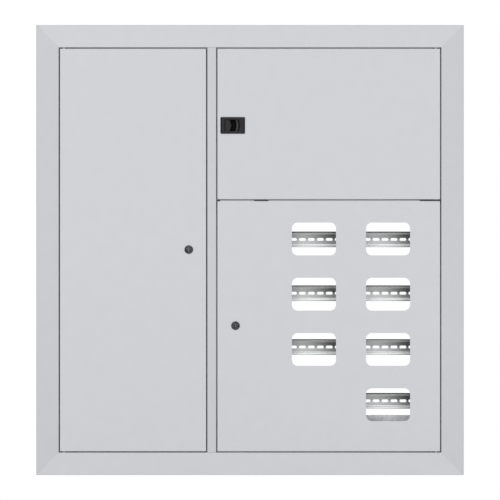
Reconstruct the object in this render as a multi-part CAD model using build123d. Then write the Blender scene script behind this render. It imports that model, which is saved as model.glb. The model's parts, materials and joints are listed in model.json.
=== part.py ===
from build123d import *
import os
from math import radians, sin, sqrt

# A recessed floor distribution board: a folded steel body that is open at the back, a wide front
# frame with a mullion, and three doors. X runs to the right, Z up, and the front faces -Y.
# The origin is the centre of the four wall fixing holes, in the rear plane of the body.

# Overall sizes, in millimetres
board_width = 950.0
board_height = 1000.0
board_depth = 150.0

# Front frame
frame_face = 50.0
mullion_face = 20.0
left_opening_width = 330.0
lower_opening_height = 561.3
frame_sheet = 1.2
frame_bend = 0.8
outer_return = 15.0
wall_flange = 10.0
lip_setback = 20.0
lip_width = 12.0
seam_width = 0.5
seam_depth = 0.4

# Doors
door_gap = 2.5
door_depth = 16.0
door_sheet = 1.2
door_edge_round = 1.5

# Hinges
pin_diameter = 5.0
pin_running_gap = 0.05
pin_from_edge = 9.0
pin_behind_face = 6.0
pin_in_door = 8.0
pin_fold_gap = 0.3
collar_diameter = 9.0
pivot_block_size = (20.0, 9.5, 12.0)
pivot_block_chamfer = 1.0
hinge_plate_length = 46.0
rest_plate_length = 30.0
rest_plate_from_mullion = 85.0
plate_thick = 2.5
plate_bite = 1.15
plate_from_front = 1.0
plate_leg = 12.0
plate_slot_gap = 0.25
notch_clearance = 0.45
notch_side_gap = 2.0

# Windows of the lower door and the short rails behind them
window_width = 98.0
window_height = 73.0
window_corner = 13.0
window_column_pitch = 164.7
window_row_pitch = 122.75
window_from_right = 118.2
window_from_gap = 86.8
window_rows = (3, 4)
rail_below_window = 0.8
rail_climb = 2.45

# Standard top-hat rail
rail_height = 35.0
rail_depth = 7.5
rail_channel = 27.0
rail_sheet = 1.0
rail_bend = 0.4
rail_slot_pitch = 20.0
rail_slot_length = 15.0
rail_slot_width = 6.2
rail_slot_corner = 1.9
rail_slot_phase = -4.9
rail_slot_margin = 2.0
rail_front_depth = 70.0
rail_end_gap = 0.5
long_rail_count = 2
long_rail_pitch = 150.0
long_rails_above_middle = 7.35
bar_rail_height = 24.0

# Posts and cross rails
post_web = 25.0
post_foot = 12.0
post_depth = 20.0
post_window_gap = 6.0
strut_sheet = 1.5
strut_bend = 0.6
cross_rail_height = 30.0
cross_rail_depth = 15.0
cross_rail_over_sill = 10.75
upper_cross_rail_gap = 5.0
cross_rail_tab = 14.0

# Folded body
body_inset = 25.0
body_sheet = 1.0
body_bend = 0.6
body_front_fold = 14.0
body_rear_flange = 25.0
fixing_hole = 9.0
fixing_from_wall = 13.0
fixing_from_end = 75.0
cable_slot_width = 230.0
cable_slot_depth = 70.0
cable_slot_corner = 8.0
partition_flange = 6.5
cable_window_height = 120.0
cable_window_depth = 40.0
cable_window_from_lip = 8.0
divider_height = 30.0
divider_depth = 20.0

# Mounting plate of the left compartment
plate_margin = 3.0
mounting_plate_sheet = 1.5
perforation_width = 6.0
perforation_length = 18.0
perforation_margin = 30.0
perforation_pitch_x = 50.0
perforation_pitch_z = 80.0

# Cam locks: inset from the closing edge of the door, height above the middle of the opening
left_lock_inset = 38.5
left_lock_above_middle = 0.9
lower_lock_inset = 40.3
lower_lock_above_middle = 1.15
lock_head_diameter = 19.0
lock_head_proud = 1.8
lock_head_chamfer = 0.6
lock_body_diameter = 16.0
lock_plug_diameter = 11.0
lock_running_gap = 0.05
lock_hole_gap = 0.2
lock_nut_width = 20.0
lock_nut_thick = 4.0
lock_plug_sunk = 0.4
key_slot = (1.8, 7.5, 9.0)
cam_length = 38.0
cam_width = 14.0
cam_thick = 2.0
cam_lip_gap = 0.5
cam_square = 7.0
cam_square_gap = 0.1
cam_screw_diameter = 4.0
cam_screw_length = 8.0
cam_screw_head = (8.0, 2.4)

# Flush paddle latch of the upper door
latch_from_edge = 34.1
latch_below_middle = 3.85
latch_bezel_rim = (3.2, 2.25)
latch_bezel_proud = 2.0
latch_bezel_corner = 2.0
latch_body_gap = 0.3
latch_side_wall = 3.4
latch_pin_bite = 1.6
latch_width = 48.0
recess_height = 25.8
recess_left = -19.0
recess_right = 13.9
recess_arc = 24.0
recess_floor_right = 6.0
recess_depth = 17.0
paddle_left = -16.5
paddle_right = -3.8
paddle_thick = 4.5
paddle_edge_round = 0.8
paddle_side_gap = 0.35
paddle_pivot_x = -13.7
paddle_pivot_depth = 4.0
paddle_hub = 3.0
latch_pin_diameter = 2.5
paddle_travel = 25.0
paddle_neck = 2.0
bolt_thick = 5.0
bolt_height = 16.0
bolt_engagement = 7.8
bolt_knob = 5.0
bolt_slot_gap = 0.35
bolt_side_gap = 0.3
bolt_nose = 3.5
bolt_edge = 1.0
bolt_tail_x = 6.0
spring_wire = 0.8
spring_diameter = 4.4
spring_turns = 4
guide_wall = 2.5
guide_end_x = 24.0
clamp_ring_width = 4.0
latch_plate_thick = 1.5

# Small hardware
close_gap = 0.1
stud_diameter = 6.0
stud_length = 13.0
stud_nut_width = 10.0
stud_nut_thick = 4.5
stud_from_edge = 60.0
buffer_size = 8.0
buffer_gap = 0.3
bar_section = (6.0, 9.0)
bar_length = 150.0
bar_screw = 4.0
bar_screw_pitch = 20.0
insulator_height = 18.0
insulator_width = 14.0

# Planes and edges that several pieces share
front_y = -board_depth
half_width = board_width / 2
half_height = board_height / 2
opening_left = -half_width + frame_face
opening_right = half_width - frame_face
opening_top = half_height - frame_face
opening_bottom = -opening_top
mullion_left = opening_left + left_opening_width
mullion_right = mullion_left + mullion_face
mullion_x = (mullion_left + mullion_right) / 2
face_back_y = front_y + frame_sheet
lip_front_y = front_y + lip_setback
lip_back_y = lip_front_y + frame_sheet
door_back_y = front_y + door_depth
door_inner_y = front_y + door_sheet
pin_y = front_y + pin_behind_face
doors_gap_z = opening_bottom + lower_opening_height
upper_middle_z = (doors_gap_z + opening_top) / 2
lower_middle_z = (opening_bottom + doors_gap_z) / 2
body_half_width = half_width - body_inset
body_half_height = half_height - body_inset
body_front_y = face_back_y
inner_half_width = body_half_width - body_sheet
inner_half_height = body_half_height - body_sheet
fixing_x = body_half_width - fixing_from_wall
fixing_z = body_half_height - fixing_from_end

left_door_box = (opening_left + door_gap, mullion_left - door_gap,
                 opening_bottom + door_gap, opening_top - door_gap)
lower_door_box = (mullion_right + door_gap, opening_right - door_gap,
                  opening_bottom + door_gap, doors_gap_z - door_gap / 2)
upper_door_box = (mullion_right + door_gap, opening_right - door_gap,
                  doors_gap_z + door_gap / 2, opening_top - door_gap)
left_pin_x = left_door_box[0] + pin_from_edge
right_pin_x = opening_right - door_gap - pin_from_edge
plate_top_z = upper_door_box[2] - plate_bite
plate_bottom_z = plate_top_z - plate_thick
notch_z = plate_bottom_z - notch_clearance

window_right_x = opening_right - window_from_right
window_columns = (window_right_x - window_column_pitch, window_right_x)
window_top_z = doors_gap_z - window_from_gap
lowest_sill_z = window_top_z - (max(window_rows) - 1) * window_row_pitch - window_height / 2
rail_front_y = front_y + rail_front_depth
rail_back_y = rail_front_y + rail_depth
post_back_y = rail_back_y + post_depth
post_reach = window_width / 2 + post_window_gap + post_foot + post_web / 2
post_xs = (window_columns[0] - post_reach, sum(window_columns) / 2, window_columns[1] + post_reach)
cross_back_y = post_back_y + cross_rail_depth
lower_cross_z = lowest_sill_z + cross_rail_over_sill - cross_rail_height / 2
upper_cross_z = window_top_z + window_height / 2 + upper_cross_rail_gap + cross_rail_height / 2
latch_body = (latch_width, recess_height + 2 * latch_side_wall)
cell_left = mullion_x + body_sheet / 2
cell_right = inner_half_width
cell_middle = (cell_left + cell_right) / 2
long_rail_centre_z = upper_middle_z + long_rails_above_middle
cable_slot_x = (-inner_half_width + mullion_x) / 2
cable_slot_y = front_y / 2


def block(x0, x1, y0, y1, z0, z1):
    """A plain block between two corners."""
    return Pos((x0 + x1) / 2, (y0 + y1) / 2, (z0 + z1) / 2) * Box(x1 - x0, y1 - y0, z1 - z0)


def write(name, *solids):
    """One file per named piece; a group of like pieces shares one file."""
    shape = solids[0] if len(solids) == 1 else Compound(children=list(solids))
    shape.label = name
    export_step(shape, f"parts/{name}.step")


def strip(points, sheet, bend):
    """The section of a folded sheet, from the corners of its middle line and its inner bend radius."""
    return trace(FilletPolyline(*points, radius=bend + sheet / 2), line_width=sheet)


def rod(diameter, length, place, direction="Y"):
    """A round bar that starts at a place and runs along one axis."""
    turn = {"X": Rot(0, 90, 0), "Y": Rot(-90, 0, 0), "Z": Rot(0, 0, 0)}[direction]
    return Pos(*place) * turn * Pos(0, 0, length / 2) * Cylinder(diameter / 2, length)


def hex_nut(width, thick, bore, place):
    """A nut round the Y axis that starts at a place."""
    body = extrude(Plane.XZ * RegularPolygon(width / 2, 6, major_radius=False), -thick)
    return Pos(*place) * (body - rod(bore, 2 * thick, (0, -thick / 2, 0)))


def frame_member(length):
    """One mitred side of the frame, as the top side, with its outer edge at Z = 0."""
    half = frame_sheet / 2
    section = strip(
        [
            (front_y + outer_return - half, -wall_flange),
            (front_y + outer_return - half, -half),
            (front_y + half, -half),
            (front_y + half, -frame_face + half),
            (lip_front_y + half, -frame_face + half),
            (lip_front_y + half, -frame_face - lip_width),
        ],
        frame_sheet,
        frame_bend,
    )
    bar = extrude(Plane.YZ * section, length / 2, both=True)
    reach = frame_face + lip_width
    end = length / 2
    mitre = Polygon((-end, 0), (end, 0), (end - reach, -reach), (reach - end, -reach), align=None)
    return bar & extrude(Plane.XZ * mitre, 2 * board_depth, both=True)


def mullion():
    """The upright between the openings: a hat section with a lip along each side."""
    half = frame_sheet / 2
    edge = mullion_face / 2
    section = strip(
        [
            (-edge - lip_width, lip_front_y + half),
            (-edge + half, lip_front_y + half),
            (-edge + half, front_y + half),
            (edge - half, front_y + half),
            (edge - half, lip_front_y + half),
            (edge + lip_width, lip_front_y + half),
        ],
        frame_sheet,
        frame_bend,
    )
    bar = Pos(mullion_x, 0, 0) * extrude(Plane.XY * section, opening_top, both=True)
    for side_x in (-1, 1):
        for side_z in (-1, 1):
            x = mullion_x + side_x * (edge + lip_width / 2)
            z = side_z * (opening_top - lip_width / 2)
            bar -= Pos(x, lip_front_y + half, z) * Box(lip_width, 2 * frame_sheet, lip_width)
    return bar


def door_frame():
    """Four mitred members and the mullion, welded into one piece, with a slot for the hinge plate."""
    ring = Pos(0, 0, half_height) * frame_member(board_width)
    ring += Rot(0, 180, 0) * Pos(0, 0, half_height) * frame_member(board_width)
    ring += Rot(0, 90, 0) * Pos(0, 0, half_width) * frame_member(board_height)
    ring += Rot(0, -90, 0) * Pos(0, 0, half_width) * frame_member(board_height)
    ring += mullion()
    seam = Box(frame_face * 1.5, 2 * seam_depth, seam_width)
    for side_x in (-1, 1):
        for side_z in (-1, 1):
            x, z = side_x * (half_width - frame_face / 2), side_z * (half_height - frame_face / 2)
            ring -= Pos(x, front_y, z) * Rot(0, -45 * side_x * side_z, 0) * seam
    hole = rod(pin_diameter + 2 * pin_running_gap, 4 * frame_sheet, (0, 0, -2 * frame_sheet), "Z")
    for x in (left_pin_x, right_pin_x):
        for side in (-1, 1):
            ring -= Pos(x, pin_y, side * opening_top) * hole
    return ring - block(
        opening_right - 2 * lip_width,
        opening_right,
        lip_front_y - frame_bend - plate_slot_gap,
        lip_back_y + frame_bend,
        plate_bottom_z - plate_slot_gap,
        plate_top_z + plate_slot_gap,
    )


def tray(box):
    """A folded door: a flat face with four edges bent back, and round outer edges."""
    x0, x1, z0, z1 = box
    outside = block(x0, x1, front_y, door_back_y, z0, z1)
    face = outside.faces().sort_by(Axis.Y)[0]
    outside = fillet(face.edges(), door_edge_round)
    back = outside.faces().sort_by(Axis.Y)[-1]
    return offset(outside, amount=-door_sheet, openings=back)


def pivot_hole(x, z):
    """A hole for a hinge pin through a door's edge, which rests on the collar of the pin."""
    return rod(pin_diameter + 2 * pin_fold_gap, 4 * door_sheet, (x, pin_y, z - 2 * door_sheet), "Z")


def pivot_block(x_edge, side, z, inward):
    """The bored block that a hinge pin turns in, welded into a corner of the door."""
    length, depth, height = pivot_block_size
    x0 = x_edge - side * door_sheet
    x1 = x0 - side * length
    z1 = z + inward * height
    body = block(min(x0, x1), max(x0, x1), door_inner_y, door_inner_y + depth, min(z, z1), max(z, z1))
    body = chamfer(body.edges(), pivot_block_chamfer)
    pin_x = x_edge - side * pin_from_edge
    bore = rod(pin_diameter + 2 * pin_running_gap, 2 * height, (pin_x, pin_y, z - height), "Z")
    return body - bore


def lock_hole(x, z):
    return rod(lock_body_diameter + 2 * lock_hole_gap, 3 * door_sheet, (x, front_y - door_sheet, z))


def left_door():
    door = tray(left_door_box)
    for z in left_door_box[2:]:
        door -= pivot_hole(left_pin_x, z)
    return door - lock_hole(left_door_box[1] - left_lock_inset, left_lock_above_middle)


def window_places():
    """The centre of each window, column by column."""
    return [
        (x, window_top_z - row * window_row_pitch)
        for x, rows in zip(window_columns, window_rows)
        for row in range(rows)
    ]


def plate_spans():
    """The stretch of the gap between the right-hand doors that each small plate fills."""
    rest_start = mullion_right + rest_plate_from_mullion
    return (
        (opening_right - hinge_plate_length, opening_right),
        (rest_start, rest_start + rest_plate_length),
    )


def lower_door():
    door = tray(lower_door_box)
    door -= pivot_hole(right_pin_x, lower_door_box[2])
    door -= lock_hole(lower_door_box[0] + lower_lock_inset, lower_middle_z + lower_lock_above_middle)
    outline = RectangleRounded(window_width, window_height, window_corner)
    window = extrude(Plane.XZ * outline, 3 * door_sheet, both=True)
    for x, z in window_places():
        door -= Pos(x, front_y, z) * window
    for start, end in plate_spans():
        door -= block(
            start - notch_side_gap, end + notch_side_gap, front_y - 1, door_back_y + 1, notch_z, doors_gap_z
        )
    return door


def upper_door():
    door = tray(upper_door_box)
    for z in upper_door_box[2:]:
        door -= pivot_hole(right_pin_x, z)
    cut = Box(latch_body[0] + 2 * latch_body_gap, 4 * door_sheet, latch_body[1] + 2 * latch_body_gap)
    return door - latch_place() * cut


def hinge_pins():
    """Five turned pins with a collar: four riveted into the frame, one through the hinge plate."""
    pins = []
    for x in (left_pin_x, right_pin_x):
        for side in (-1, 1):
            shank = frame_sheet + door_gap + pin_in_door
            pin = rod(pin_diameter, shank, (0, 0, frame_sheet - shank), "Z")
            pin += rod(collar_diameter, door_gap, (0, 0, -door_gap), "Z")
            turn = Rot(0, 0, 0) if side > 0 else Rot(180, 0, 0)
            pins.append(Pos(x, pin_y, side * opening_top) * turn * pin)
    low = notch_z - pin_in_door
    high = upper_door_box[2] + pin_in_door
    middle = rod(pin_diameter, high - low, (right_pin_x, pin_y, low), "Z")
    middle += rod(collar_diameter, plate_bite, (right_pin_x, pin_y, plate_top_z), "Z")
    return pins + [middle]


def gap_plate(start, end):
    """A plate in the gap between the doors, with a leg that lies behind the divider rail."""
    back = lip_back_y + frame_sheet + plate_thick
    shelf = block(start, end, front_y + plate_from_front, back, plate_bottom_z, plate_top_z)
    return shelf + block(start, end, back - plate_thick, back, plate_top_z - plate_leg, plate_top_z)


def hinge_plate(start, end):
    """A gap plate with a hole for the middle hinge pin."""
    low = (right_pin_x, pin_y, plate_bottom_z - plate_thick)
    return gap_plate(start, end) - rod(pin_diameter + 2 * pin_running_gap, 3 * plate_thick, low, "Z")


def divider_rail():
    """The channel behind the gap between the two right-hand doors."""
    half = frame_sheet / 2
    top = divider_height / 2 - half
    web_y = lip_back_y + half
    back = web_y + divider_depth
    section = strip([(back, -top), (web_y, -top), (web_y, top), (back, top)], frame_sheet, frame_bend)
    half_length = (cell_right - cell_left) / 2
    rail = Pos(cell_middle, 0, doors_gap_z) * extrude(Plane.YZ * section, half_length, both=True)
    for start, end in plate_spans():
        rail -= block(
            start - plate_slot_gap,
            end + plate_slot_gap,
            lip_back_y - frame_sheet,
            lip_back_y + 2 * frame_sheet,
            plate_bottom_z - plate_slot_gap,
            plate_top_z + plate_slot_gap,
        )
    return rail


def wall_section(height):
    """A body wall: the sheet, a front fold on the frame and a rear flange, in depth and height."""
    half = body_sheet / 2
    return [
        (body_front_y + half, height - body_front_fold),
        (body_front_y + half, height - half),
        (-half, height - half),
        (-half, height - body_rear_flange),
    ]


def side_wall(side):
    """A side wall of the body, over its full height, with two fixing holes in its rear flange."""
    section = [(side * h, y) for y, h in wall_section(body_half_width)]
    wall = extrude(Plane.XY * strip(section, body_sheet, body_bend), inner_half_height, both=True)
    for z in (-fixing_z, fixing_z):
        wall -= rod(fixing_hole, 3 * body_sheet, (side * fixing_x, -2 * body_sheet, z))
    return wall


def end_wall(side):
    """The top or bottom wall, with a cable slot into the left compartment."""
    section = [(y, side * h) for y, h in wall_section(body_half_height)]
    wall = extrude(Plane.YZ * strip(section, body_sheet, body_bend), body_half_width, both=True)
    low, high = sorted((side * inner_half_height, side * (inner_half_height - 2 * body_rear_flange)))
    for end in (-1, 1):
        edge = end * body_half_width
        for fold, y0, y1 in (
            (body_front_fold, body_front_y - body_sheet, body_front_y + 2 * body_sheet),
            (body_rear_flange, -2 * body_sheet, body_sheet),
        ):
            x0, x1 = sorted((edge, edge - end * (fold + body_sheet)))
            wall -= block(x0, x1, y0, y1, low, high)
    outline = RectangleRounded(cable_slot_width, cable_slot_depth, cable_slot_corner)
    slot = extrude(outline, 3 * body_sheet, both=True)
    return wall - Pos(cable_slot_x, cable_slot_y, side * body_half_height) * slot


def partition():
    """The wall behind the mullion, with a cable window into each right-hand compartment."""
    front_edge = face_back_y + body_sheet / 2
    section = strip(
        [(mullion_x + partition_flange, front_edge), (mullion_x, front_edge), (mullion_x, -body_sheet)],
        body_sheet,
        body_bend,
    )
    wall = extrude(Plane.XY * section, inner_half_height, both=True)
    for side in (-1, 1):
        low, high = sorted((side * (opening_top - lip_width - close_gap), side * half_height))
        wall -= block(mullion_left, mullion_right, front_y, lip_back_y + close_gap, low, high)
        low, high = sorted((side * (inner_half_height - body_bend), side * half_height))
        wall -= block(mullion_left, mullion_right, -body_sheet - body_bend, 0, low, high)
    window_y = lip_back_y + cable_window_from_lip + cable_window_depth / 2
    for z in (lower_middle_z, upper_middle_z):
        wall -= Pos(mullion_x, window_y, z) * Box(4 * body_sheet, cable_window_depth, cable_window_height)
    return wall


def cross_rail(z):
    """A galvanised channel from the partition to the right wall, with a tab at each end."""
    half = strut_sheet / 2
    top = cross_rail_height / 2 - half
    web_y = post_back_y + half
    back = cross_back_y
    section = strip([(back, -top), (web_y, -top), (web_y, top), (back, top)], strut_sheet, strut_bend)
    half_length = (cell_right - cell_left) / 2
    rail = Pos(cell_middle, 0, z) * extrude(Plane.YZ * section, half_length, both=True)
    for x0, x1 in ((cell_left, cell_left + strut_sheet), (cell_right - strut_sheet, cell_right)):
        rail += block(x0, x1, web_y, back + cross_rail_tab, z - top, z + top)
    return rail


def post(post_x):
    """A galvanised hat section that carries the ends of the short rails."""
    half = strut_sheet / 2
    edge = post_web / 2 - half
    web_y = rail_back_y + half
    foot_y = post_back_y - half
    foot = edge + post_foot
    left = [(-foot, foot_y), (-edge, foot_y), (-edge, web_y)]
    corners = left + [(-x, y) for x, y in reversed(left)]
    section = strip(corners, strut_sheet, strut_bend)
    low = lower_cross_z - cross_rail_height / 2
    high = upper_cross_z + cross_rail_height / 2
    return Pos(post_x, 0, low) * extrude(Plane.XY * section, high - low)


def rail_profile():
    """The top-hat section of a standard rail, with its brim in front."""
    half = rail_sheet / 2
    brim = rail_height / 2
    side = rail_channel / 2 - half
    front = rail_front_y + half
    back = rail_back_y - half
    lower = [(front, -brim), (front, -side), (back, -side)]
    corners = lower + [(y, -z) for y, z in reversed(lower)]
    return strip(corners, rail_sheet, rail_bend)


def top_hat_rail(start, end, z, slot_xs=()):
    """A standard rail, with an eight-sided slot at each of the places given."""
    rail = Pos((start + end) / 2, 0, z) * extrude(Plane.YZ * rail_profile(), (end - start) / 2, both=True)
    outline = chamfer(Rectangle(rail_slot_length, rail_slot_width).vertices(), rail_slot_corner)
    slot = extrude(Plane.XZ * outline, rail_sheet, both=True)
    for x in slot_xs:
        rail -= Pos(x, rail_back_y - rail_sheet / 2, z) * slot
    return rail


def short_rail_span(x):
    """Each short rail runs from the outer post to just short of the middle post's centre line."""
    middle = post_xs[1]
    if x < middle:
        return post_xs[0] - post_web / 2, middle - rail_end_gap
    return middle + rail_end_gap, post_xs[2] + post_web / 2


def short_rail_places():
    """The rail pitch is a little less than the windows' pitch, so each rail sits higher in its window."""
    row_pitch = window_row_pitch - rail_climb
    return [
        (x, window_top_z - rail_below_window - row * row_pitch)
        for x, rows in zip(window_columns, window_rows)
        for row in range(rows)
    ]


def short_rails():
    """One slotted rail behind each window, with its slots where no post stands behind it."""
    rails = []
    for x, z in short_rail_places():
        start, end = short_rail_span(x)
        margin = rail_slot_length / 2 + rail_slot_margin
        clear = [edge for post_x in post_xs for edge in (post_x - post_web / 2, post_x + post_web / 2)]
        low = max(edge for edge in clear if edge < x) + margin
        high = min(edge for edge in clear if edge > x) - margin
        reach = int((end - start) / rail_slot_pitch)
        slots = [x + rail_slot_phase + k * rail_slot_pitch for k in range(-reach, reach)]
        rails.append(top_hat_rail(start, end, z, [place for place in slots if low < place < high]))
    return rails


def long_rail_zs():
    low = long_rail_centre_z - (long_rail_count - 1) / 2 * long_rail_pitch
    return [low + n * long_rail_pitch for n in range(long_rail_count)]


def long_rails():
    """The rails of the upper compartment, for breakers; these are not slotted."""
    return [top_hat_rail(cell_left + strut_sheet, cell_right - strut_sheet, z) for z in long_rail_zs()]


def rail_bracket(x, side, z):
    """An angle on the partition or the side wall that carries one end of a rail."""
    half = strut_sheet / 2
    front = rail_back_y + half
    corners = [(side * post_web, front), (side * half, front), (side * half, cross_back_y)]
    section = strip(corners, strut_sheet, strut_bend)
    return Pos(x, 0, z) * extrude(Plane.XY * section, bar_rail_height / 2, both=True)


def rail_brackets():
    return [
        rail_bracket(x, side, z)
        for z in long_rail_zs() + [long_rail_centre_z]
        for x, side in ((cell_left, 1), (cell_right, -1))
    ]


def bar_rail():
    """A flat strip between the two long rails, which carries the terminal bars."""
    return block(
        cell_left + strut_sheet,
        cell_right - strut_sheet,
        rail_back_y - strut_sheet,
        rail_back_y,
        long_rail_centre_z - bar_rail_height / 2,
        long_rail_centre_z + bar_rail_height / 2,
    )


def bar_centres():
    """The neutral bar sits a quarter of the way along its strip, and the earth bar three quarters."""
    span = cell_right - cell_left
    return (cell_left + span / 4, cell_right - span / 4)


def insulators():
    """Two six-sided supports under each terminal bar, one near each end."""
    places = [x + end * (bar_length / 2 - insulator_width) for x in bar_centres() for end in (-1, 1)]
    body = extrude(Plane.XZ * RegularPolygon(insulator_width / 2, 6, major_radius=False), insulator_height)
    return [Pos(x, rail_back_y - strut_sheet, long_rail_centre_z) * body for x in places]


def terminal_bar(x):
    """A brass bar with a row of tapped holes for the terminal screws."""
    depth, height = bar_section
    y1 = rail_back_y - strut_sheet - insulator_height
    z = long_rail_centre_z
    bar = block(x - bar_length / 2, x + bar_length / 2, y1 - depth, y1, z - height / 2, z + height / 2)
    count = int(bar_length / bar_screw_pitch) - 2
    for number in range(count):
        place = x + (number - (count - 1) / 2) * bar_screw_pitch
        bar -= rod(bar_screw, depth, (place, y1 - 1.5 * depth, z))
    return bar


def mounting_plate_box():
    return (
        -inner_half_width + plate_margin,
        mullion_x - body_sheet / 2 - plate_margin,
        -inner_half_height + plate_margin,
        inner_half_height - plate_margin,
    )


def mounting_plate():
    """The perforated plate of the left compartment, screwed on the rear flanges."""
    x0, x1, z0, z1 = mounting_plate_box()
    plate = block(x0, x1, -body_sheet - mounting_plate_sheet, -body_sheet, z0, z1)
    hole = Box(perforation_width, 4 * mounting_plate_sheet, perforation_length)
    columns = int((x1 - x0 - 2 * perforation_margin) / perforation_pitch_x) + 1
    rows = int((z1 - z0 - 2 * perforation_margin) / perforation_pitch_z) + 1
    grid = GridLocations(perforation_pitch_x, perforation_pitch_z, columns, rows)
    for place in grid:
        x, z = (x0 + x1) / 2 + place.position.X, place.position.Y
        plate -= Pos(x, -body_sheet, z) * hole
    return plate


def lock_parts(x, z):
    """A cam lock: housing, nut, turning plug, cam and its screw. Its cam hangs down, clear of the frame."""
    cam_front = lip_back_y + cam_lip_gap
    cam_back = cam_front + cam_thick
    head = rod(lock_head_diameter, lock_head_proud, (0, front_y - lock_head_proud, 0))
    head = chamfer(head.edges().sort_by(Axis.Y)[0], lock_head_chamfer)
    barrel = head + rod(lock_body_diameter, cam_front - 2 * close_gap - front_y, (0, front_y, 0))
    barrel -= rod(lock_plug_diameter + 2 * lock_running_gap, 2 * board_depth, (0, front_y - board_depth, 0))
    nut = hex_nut(lock_nut_width, lock_nut_thick, lock_body_diameter + 2 * close_gap, (0, door_inner_y, 0))
    plug_front = front_y - lock_head_proud + lock_plug_sunk
    plug = rod(lock_plug_diameter, cam_front - plug_front, (0, plug_front, 0))
    half = cam_square / 2 - cam_square_gap
    plug += block(-half, half, cam_front, cam_back - cam_square_gap, -half, half)
    width, height, depth = key_slot
    plug -= block(-width / 2, width / 2, plug_front - 1, plug_front + depth, -height / 2, height / 2)
    plug -= rod(cam_screw_diameter + 2 * close_gap, cam_screw_length, (0, cam_back - cam_screw_length, 0))
    blade = SlotOverall(cam_length + cam_width / 2, cam_width, rotation=90)
    cam = Pos(0, cam_back, -(cam_length - cam_width / 2) / 2) * extrude(Plane.XZ * blade, cam_thick)
    half = cam_square / 2
    cam -= block(-half, half, cam_front - 1, cam_back + 1, -half, half)
    head_diameter, head_height = cam_screw_head
    shank = cam_screw_length - 2 * close_gap
    fixing = rod(cam_screw_diameter, shank, (0, cam_back - shank, 0))
    fixing += rod(head_diameter, head_height, (0, cam_back, 0))
    place = Pos(x, 0, z)
    return [place * part for part in (barrel, nut, plug, cam, fixing)]


def latch_place():
    return Pos(upper_door_box[0] + latch_from_edge, front_y, upper_middle_z - latch_below_middle)


def bowed_outline(left, right, half):
    """An outline in X and Z round the latch centre: straight but for its right edge, which bows out."""
    corner = right - (recess_arc - sqrt(recess_arc**2 - half**2))
    sides = Polyline((corner, -half), (left, -half), (left, half), (corner, half))
    return make_face(sides + ThreePointArc((corner, half), (right, 0), (corner, -half)))


def latch_depths():
    """Depths behind the door face: the rear of the body, and the two faces of the bolt."""
    bolt_front = lip_back_y + cam_lip_gap - front_y
    return bolt_front - bolt_side_gap, bolt_front, bolt_front + bolt_thick


def latch_housing():
    """The moulded body: bezel, bowl with a scooped right side, and the guide for the bolt behind."""
    body_back, bolt_front, bolt_back = latch_depths()
    proud = latch_bezel_proud
    width, height = (size + 2 * rim for size, rim in zip(latch_body, latch_bezel_rim))
    bezel = extrude(Plane.XZ * RectangleRounded(width, height, latch_bezel_corner), proud)
    bezel = fillet(bezel.faces().sort_by(Axis.Y)[0].edges(), proud / 2)
    half_x, half_z = latch_body[0] / 2, latch_body[1] / 2
    housing = bezel + block(-half_x, half_x, 0, body_back, -half_z, half_z)
    inner = bolt_height / 2 + bolt_side_gap
    outer = inner + guide_wall
    guide_back = bolt_back + bolt_side_gap
    housing += block(-half_x, guide_end_x, body_back, guide_back, -outer, -inner)
    housing += block(-half_x, guide_end_x, body_back, guide_back, inner, outer)
    housing += block(guide_end_x - guide_wall, guide_end_x, body_back, guide_back, -outer, outer)
    half = recess_height / 2
    mouth = Plane.XZ.offset(2 * proud) * bowed_outline(recess_left, recess_right, half)
    floor = Plane.XZ.offset(-recess_depth) * bowed_outline(recess_left, recess_floor_right, half)
    housing -= loft([mouth, floor])
    _, travel = bolt_arm()
    room = paddle_hub + bolt_slot_gap
    half = bolt_height / 4 + bolt_side_gap
    start, end = paddle_pivot_x - room, paddle_pivot_x + travel + room
    housing -= block(start, end, recess_depth - 1, body_back + 1, -half, half)
    length = recess_height + 2 * latch_pin_bite
    low = (paddle_pivot_x, paddle_pivot_depth, -length / 2)
    bore = rod(latch_pin_diameter + 2 * lock_running_gap, length, low, "Z")
    return latch_place() * (housing - bore)


def bolt_arm():
    """Distance from the paddle's pivot to the knob in the bolt, and the bolt's travel."""
    _, bolt_front, bolt_back = latch_depths()
    arm = (bolt_front + bolt_back) / 2 - paddle_pivot_depth
    return arm, arm * sin(radians(paddle_travel))


def latch_pin():
    half = recess_height / 2 + latch_pin_bite - close_gap
    low = (paddle_pivot_x, paddle_pivot_depth, -half)
    return latch_place() * rod(latch_pin_diameter, 2 * half, low, "Z")


def latch_paddle():
    """The thumb paddle: a curved plate, a hub round the pin, and a neck with a knob in the bolt."""
    arm, _ = bolt_arm()
    half = recess_height / 2 - paddle_side_gap
    face = bowed_outline(paddle_left, paddle_right, half)
    plate = extrude(Plane.XZ.offset(latch_bezel_proud / 2) * face, -paddle_thick)
    plate = fillet(plate.faces().sort_by(Axis.Y)[0].edges(), paddle_edge_round)
    x, y = paddle_pivot_x, paddle_pivot_depth
    hub = rod(2 * paddle_hub, 2 * half, (x, y, -half), "Z")
    web = block(x - paddle_hub, x + paddle_hub, 0, y, -half, half)
    neck_half = bolt_height / 4 - bolt_side_gap
    neck = block(x - paddle_neck / 2, x + paddle_neck / 2, y, y + arm, -neck_half, neck_half)
    knob = rod(bolt_knob, 2 * neck_half, (x, y + arm, -neck_half), "Z")
    bore = rod(latch_pin_diameter + 2 * lock_running_gap, 4 * half, (x, y, -2 * half), "Z")
    return latch_place() * (plate + web + hub + neck + knob - bore)


def bolt_tip_x():
    """The bolt's tip, measured from the latch centre, so that it reaches behind the mullion's lip."""
    lip_edge = mullion_right + lip_width
    return lip_edge - bolt_engagement - (upper_door_box[0] + latch_from_edge)


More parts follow.
